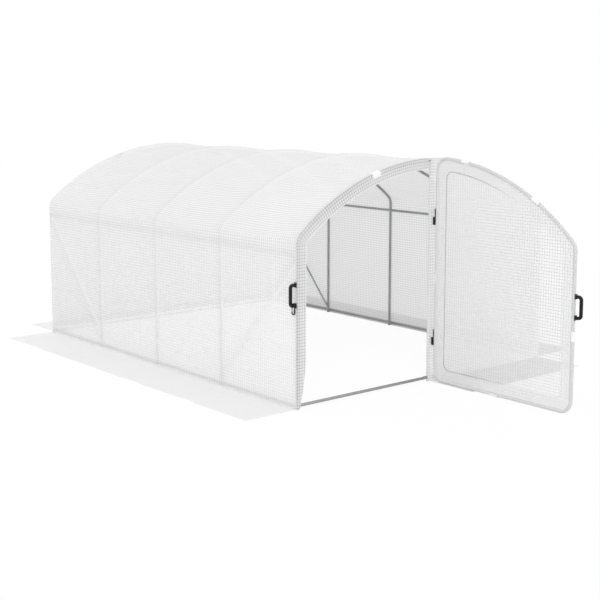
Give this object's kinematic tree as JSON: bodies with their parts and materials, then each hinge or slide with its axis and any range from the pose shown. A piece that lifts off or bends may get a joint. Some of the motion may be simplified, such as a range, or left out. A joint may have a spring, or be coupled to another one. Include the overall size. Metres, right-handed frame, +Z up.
{
  "type": "polytunnel greenhouse",
  "caption": "Walk-in polytunnel: tube hoops with rails and braces under a reinforced sheet cover with ground skirts, and a hinged half-arch door leaf at the front.",
  "frame": {"origin": "on the ground at the foot of the centre post, in the middle of the front hoop", "axes": "+Y back along the tunnel, +X to the right seen from the front, +Z up"},
  "size_m": [4.0052, 6.0971, 1.9634],
  "materials": {
    "galvanised_tube": "galvanised, dull metallic",
    "reinforced_sheet": "translucent white woven sheet with a square reinforcing grid",
    "black_metal": "black powder coat",
    "white_tab": "plain white woven tab",
    "hook_metal": "dark coated metal",
    "black_plastic": "matt moulded"
  },
  "bodies": {
    "tunnel": {"base_rail_doorway": "galvanised_tube", "base_rail_front": "galvanised_tube", "base_rail_left": "galvanised_tube", "base_rail_rear": "galvanised_tube", "base_rail_right": "galvanised_tube", "brace_front_left": "galvanised_tube", "brace_front_right": "galvanised_tube", "brace_rear_left": "galvanised_tube", "brace_rear_right": "galvanised_tube", "centre_post": "galvanised_tube", "cover_front_right": "reinforced_sheet", "cover_rear": "reinforced_sheet", "cover_roof_left": "reinforced_sheet", "cover_roof_right": "reinforced_sheet", "cover_wall_left": "reinforced_sheet", "cover_wall_right": "reinforced_sheet", "doorway_strip": "reinforced_sheet", "handle_frame": "black_plastic", "hinge_lower_post_half": "black_metal", "hinge_upper_post_half": "black_metal", "hoop_front": "galvanised_tube", "hoop_inner_1": "galvanised_tube", "hoop_inner_2": "galvanised_tube", "hoop_inner_3": "galvanised_tube", "hoop_rear": "galvanised_tube", "purlin_left": "galvanised_tube", "purlin_right": "galvanised_tube", "skirt_front_right": "reinforced_sheet", "skirt_left": "reinforced_sheet", "skirt_rear": "reinforced_sheet", "skirt_right": "reinforced_sheet", "snap_hook": "hook_metal", "tie_tabs_front": "white_tab", "tie_tabs_rear": "white_tab"},
    "door_leaf": {"door_cover": "reinforced_sheet", "door_frame": "galvanised_tube", "handle_door": "black_plastic", "hinge_lower_door_half": "black_metal", "hinge_upper_door_half": "black_metal", "tie_tabs_door": "white_tab"}
  },
  "joints": [
    {"name": "door_hinge", "type": "hinge", "parent": "tunnel", "child": "door_leaf", "pos_m": [0.024, -0.0385, 0.372], "axis": [0, 0, 1], "range_deg": [-90, 80]}
  ]
}
